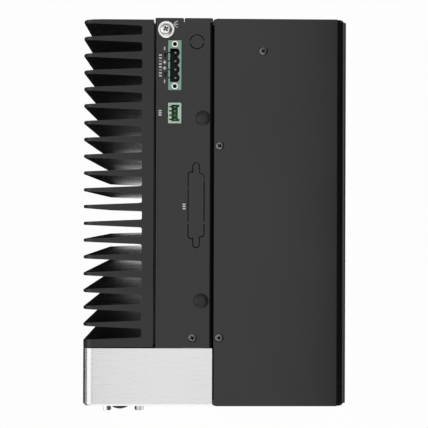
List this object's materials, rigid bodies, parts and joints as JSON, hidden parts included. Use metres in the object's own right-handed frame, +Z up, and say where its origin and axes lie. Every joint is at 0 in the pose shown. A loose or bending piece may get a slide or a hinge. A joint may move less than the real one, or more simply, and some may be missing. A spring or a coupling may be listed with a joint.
{
  "type": "fanless industrial computer",
  "caption": "Compact fanless industrial computer with a finned heat sink, a silver front panel with sockets and a bolted-on expansion box.",
  "frame": {"origin": "under the middle of the outline, at the floor under the rubber feet", "axes": "+X from the heat sink's fin tips to the expansion box, +Y from the front panel to the rear, +Z up"},
  "size_m": [0.1568, 0.2358, 0.1983],
  "materials": {
    "anodised_black": "matt black anodised extrusion",
    "plain_aluminium": "milled",
    "brushed_silver": "fine horizontal brushing, clear anodised",
    "powder_black": "fine-textured black powder coat",
    "zinc_steel": "bright zinc plate",
    "circuit_board": "green solder mask",
    "nickel": "bright nickel plate",
    "black_screw": "black oxide",
    "thermal_rubber": "soft grey pad",
    "black_plastic": "satin moulded",
    "blue_plastic": "satin moulded",
    "lens_plastic": "diffuse light pipe",
    "gold_pins": "gold flash",
    "green_plastic": "satin moulded",
    "foot_rubber": "matt"
  },
  "bodies": {
    "computer": {"audio_jacks": "black_plastic", "backplane": "circuit_board", "battery_holder": "black_plastic", "board_link": "black_plastic", "coin_cell": "nickel", "com_port_1_body": "black_plastic", "com_port_1_shell": "nickel", "com_port_2_body": "black_plastic", "com_port_2_shell": "nickel", "com_port_3_body": "black_plastic", "com_port_3_shell": "nickel", "drive_bracket": "zinc_steel", "expansion_chassis": "powder_black", "expansion_cover": "powder_black", "flat_screws": "black_screw", "front_bezel": "brushed_silver", "ground_screw": "nickel", "ground_washer": "nickel", "header_pins": "gold_pins", "heat_sink": "anodised_black", "heat_spreader": "plain_aluminium", "hole_plugs": "black_plastic", "io_board": "circuit_board", "jackscrews": "nickel", "lan_port_1": "nickel", "lan_port_2": "nickel", "main_chassis": "powder_black", "mainboard": "circuit_board", "memory_module": "circuit_board", "memory_socket": "black_plastic", "pan_screws": "nickel", "port_pins": "gold_pins", "power_header": "green_plastic", "power_header_inserts": "nickel", "power_switch": "black_plastic", "processor": "nickel", "rear_cover_left": "powder_black", "rear_cover_right": "powder_black", "remote_header": "green_plastic", "riser_socket": "black_plastic", "rubber_feet": "foot_rubber", "sink_screws": "nickel", "slot_connector_1": "black_plastic", "slot_connector_2": "black_plastic", "slot_connector_3": "black_plastic", "slot_cover_1": "zinc_steel", "slot_cover_2": "zinc_steel", "slot_cover_3": "zinc_steel", "slot_frame": "zinc_steel", "solid_state_drive": "plain_aluminium", "standoffs": "nickel", "status_leds": "lens_plastic", "thermal_pad": "thermal_rubber", "usb_port_1": "nickel", "usb_port_2": "nickel", "usb_tongues": "black_plastic", "vga_port_body": "blue_plastic", "vga_port_shell": "nickel"},
    "button": {"power_button": "black_plastic", "switch_plunger": "black_plastic"}
  },
  "joints": [
    {"name": "power_button_press", "type": "slide", "parent": "computer", "child": "button", "axis": [0, 1, 0], "range_m": [0, 0.0008], "stiffness_N_per_m": 1500}
  ]
}
